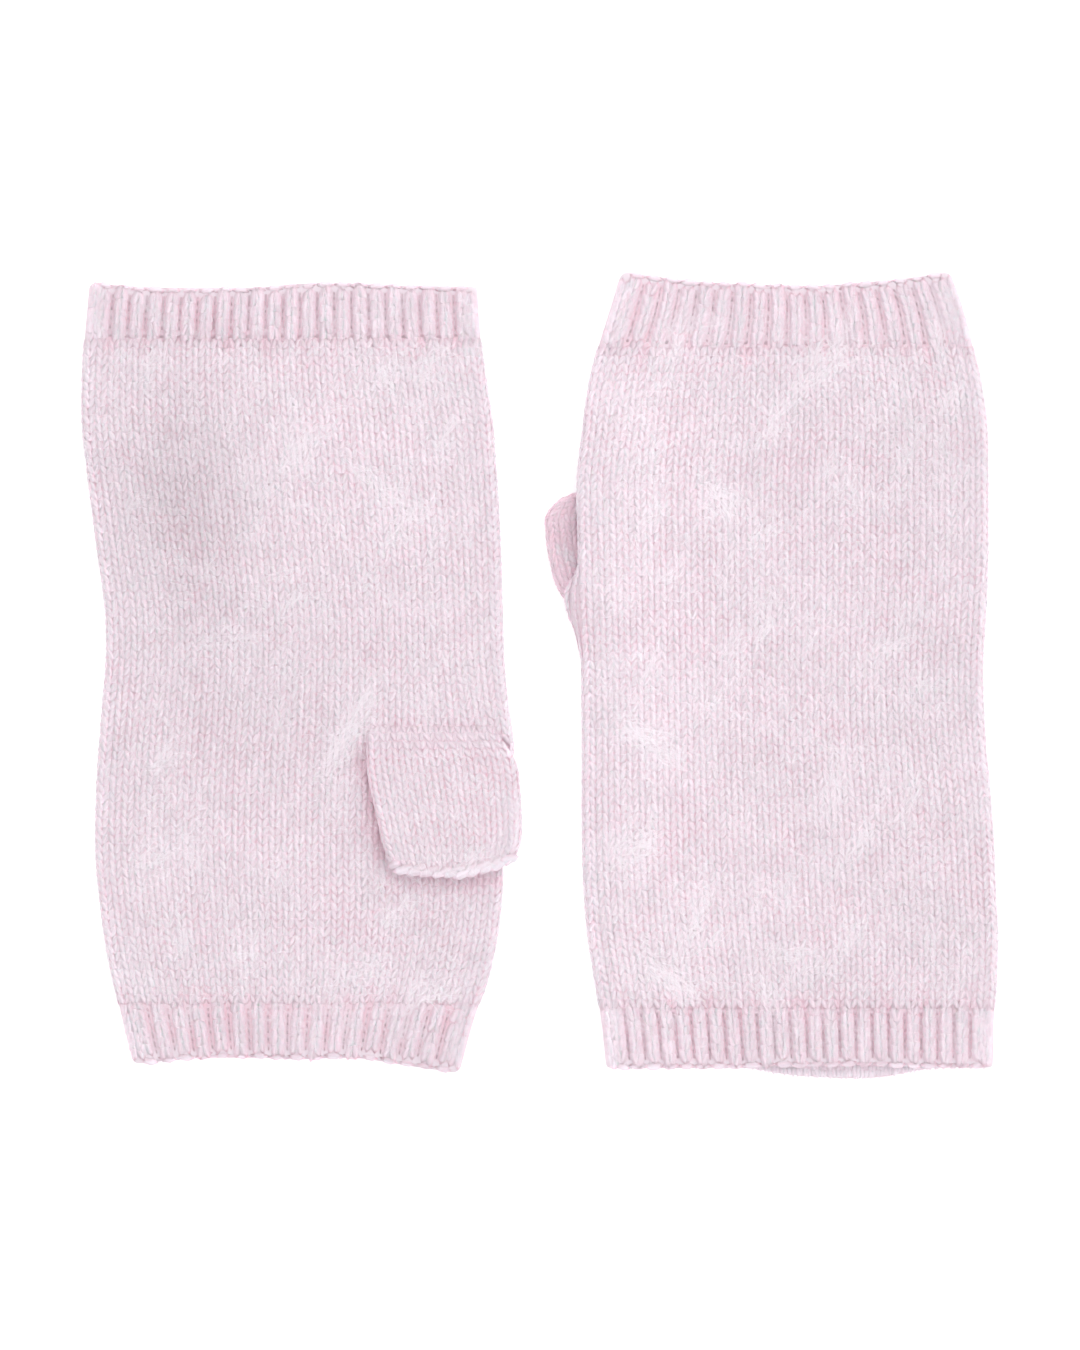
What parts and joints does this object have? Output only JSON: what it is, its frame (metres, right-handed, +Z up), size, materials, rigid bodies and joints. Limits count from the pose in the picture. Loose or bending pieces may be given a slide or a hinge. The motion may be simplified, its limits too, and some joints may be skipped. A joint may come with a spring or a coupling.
{
  "type": "pair of fingerless gloves",
  "caption": "Pair of brushed knit fingerless gloves laid flat head to tail, one palm up and one back up, each a tube with ribbed ends and a thumb sleeve folded along the palm.",
  "frame": {"origin": "on the surface that the gloves lie on, under the middle of the pair", "axes": "+X across the pair from the left glove to the right glove, +Y towards the left glove's wrist and the right glove's finger end, +Z up from the surface"},
  "size_m": [0.2339, 0.2056, 0.0082],
  "materials": {
    "body_knit": "brushed, fuzzy",
    "rib_knit": "brushed, ribbed",
    "thumb_knit": "brushed, fuzzy"
  },
  "bodies": {
    "root": {"left_body": "body_knit", "left_wrist_rib": "rib_knit", "left_finger_rib": "rib_knit", "left_thumb": "thumb_knit", "right_body": "body_knit", "right_wrist_rib": "rib_knit", "right_finger_rib": "rib_knit", "right_thumb": "thumb_knit"}
  },
  "joints": []
}
